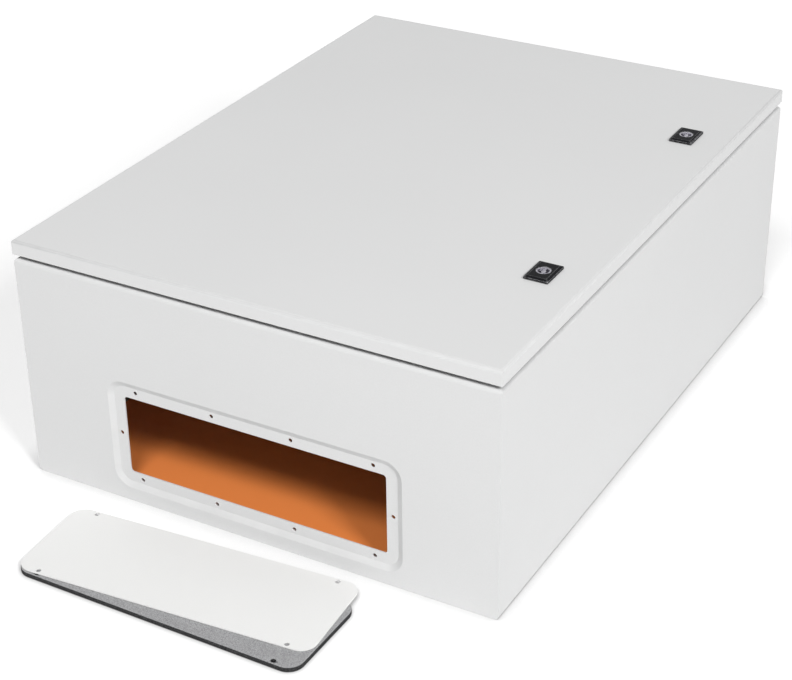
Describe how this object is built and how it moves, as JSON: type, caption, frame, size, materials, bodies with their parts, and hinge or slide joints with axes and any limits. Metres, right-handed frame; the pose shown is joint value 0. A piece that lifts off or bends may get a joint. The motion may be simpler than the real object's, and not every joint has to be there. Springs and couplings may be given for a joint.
{
  "type": "distribution board",
  "caption": "Wall-mounted sheet-steel distribution board enclosure with hinged door, quarter-turn locks, orange mounting plate and a pressed cable entry with gland plate taken off.",
  "frame": {"origin": "centre of the back face, which is the middle of the four wall-fixing holes", "axes": "+X across the board to the lock side, +Y up the wall, +Z out of the wall; the board is shown lying on its back, with its cable-entry end at -Y"},
  "size_m": [0.6, 0.9759, 0.3043],
  "materials": {
    "body_paint": "light grey fine-texture powder coat",
    "door_paint": "light grey fine-texture powder coat",
    "orange_paint": "satin orange powder coat",
    "zinc": "zinc plated",
    "steel": "plain bright steel",
    "lock_insert": "cast and zinc plated",
    "lock_black": "black glass-filled plastic",
    "foam_seal": "matt foam",
    "gland_foam": "speckled grey sponge",
    "gland_paint": "off-white powder coat"
  },
  "bodies": {
    "root": {"body_wrapper": "body_paint", "top_end_panel": "body_paint", "bottom_end_panel": "body_paint", "upper_hinge_body_leaf": "zinc", "lower_hinge_body_leaf": "zinc", "upper_hinge_pin": "steel", "lower_hinge_pin": "steel", "plate_studs": "steel", "plate_spacers": "zinc", "mounting_plate": "orange_paint", "plate_washers": "zinc", "plate_nuts": "zinc", "body_earth_stud": "steel", "body_earth_washers": "zinc", "body_earth_nuts": "zinc"},
    "door": {"door_panel": "door_paint", "door_gasket": "foam_seal", "left_door_stiffener": "door_paint", "right_door_stiffener": "door_paint", "upper_hinge_door_leaf": "zinc", "lower_hinge_door_leaf": "zinc", "door_earth_stud": "steel", "door_earth_washers": "zinc", "door_earth_nuts": "zinc", "upper_lock_housing": "lock_black", "upper_lock_seal": "foam_seal", "upper_lock_nut": "zinc", "lower_lock_housing": "lock_black", "lower_lock_seal": "foam_seal", "lower_lock_nut": "zinc"},
    "upper_lock": {"upper_lock_spindle": "lock_insert", "upper_lock_cam": "zinc", "upper_lock_cam_washer": "zinc", "upper_lock_cam_screw": "steel"},
    "lower_lock": {"lower_lock_spindle": "lock_insert", "lower_lock_cam": "zinc", "lower_lock_cam_washer": "zinc", "lower_lock_cam_screw": "steel"},
    "gland_gasket_loose": {"gland_gasket": "gland_foam"},
    "gland_plate_loose": {"gland_plate": "gland_paint"}
  },
  "joints": [
    {"name": "door_hinge", "type": "hinge", "parent": "root", "child": "door", "pos_m": [-0.294, 0, 0.286], "axis": [0, -1, 0], "range_deg": [0, 120]},
    {"name": "upper_lock_turn", "type": "hinge", "parent": "door", "child": "upper_lock", "pos_m": [0.248, 0.2, 0.3], "axis": [0, 0, 1], "range_deg": [0, 90]},
    {"name": "lower_lock_turn", "type": "hinge", "parent": "door", "child": "lower_lock", "pos_m": [0.248, -0.2, 0.3], "axis": [0, 0, 1], "range_deg": [0, 90]},
    {"name": "gasket_lift", "type": "slide", "parent": "root", "child": "gland_gasket_loose", "axis": [0, 0, 1], "range_m": [0, 0.1]},
    {"name": "plate_lift", "type": "slide", "parent": "gland_gasket_loose", "child": "gland_plate_loose", "axis": [0, 0, 1], "range_m": [0, 0.1]}
  ]
}
